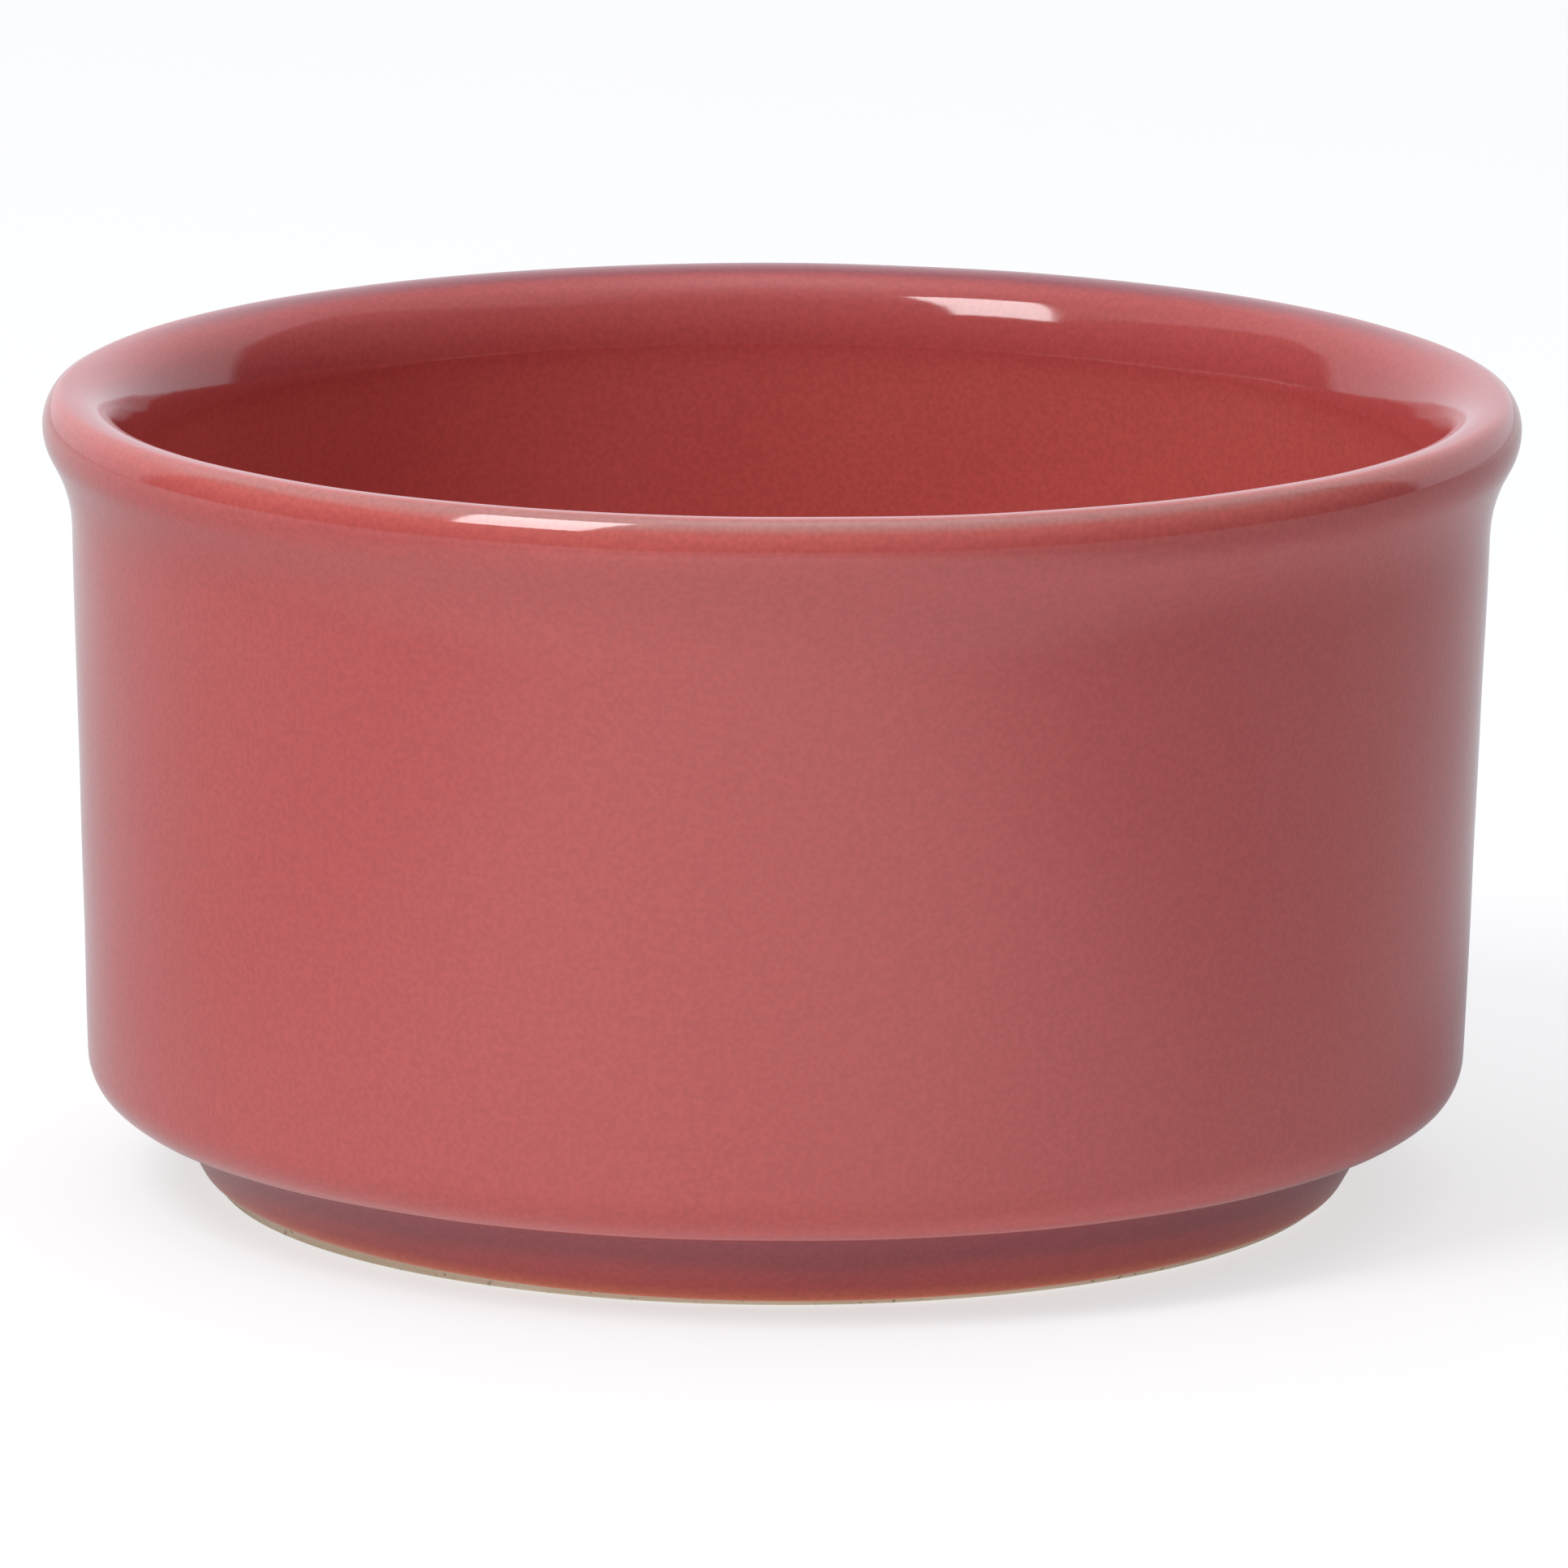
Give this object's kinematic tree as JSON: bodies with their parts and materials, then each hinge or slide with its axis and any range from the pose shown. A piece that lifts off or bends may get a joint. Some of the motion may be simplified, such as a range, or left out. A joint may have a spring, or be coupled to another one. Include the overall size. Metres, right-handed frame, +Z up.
{
  "type": "ramekin",
  "caption": "Round straight-sided ceramic baking dish with a rolled lip and a stacking foot ring; holds and bakes a single portion.",
  "frame": {"origin": "on the axis of the dish, at the height of the table it stands on", "axes": "+Z points up along the axis of the dish; the dish is the same all the way round, so X and Y are any two level directions"},
  "size_m": [0.09, 0.09, 0.0493],
  "materials": {
    "fired_clay": "bare fired stoneware, wiped and slightly gritty",
    "coral_glaze": "glossy coral red glaze"
  },
  "bodies": {
    "root": {"clay_body": "fired_clay", "glaze_coat": "coral_glaze", "base_glaze": "coral_glaze"}
  },
  "joints": []
}
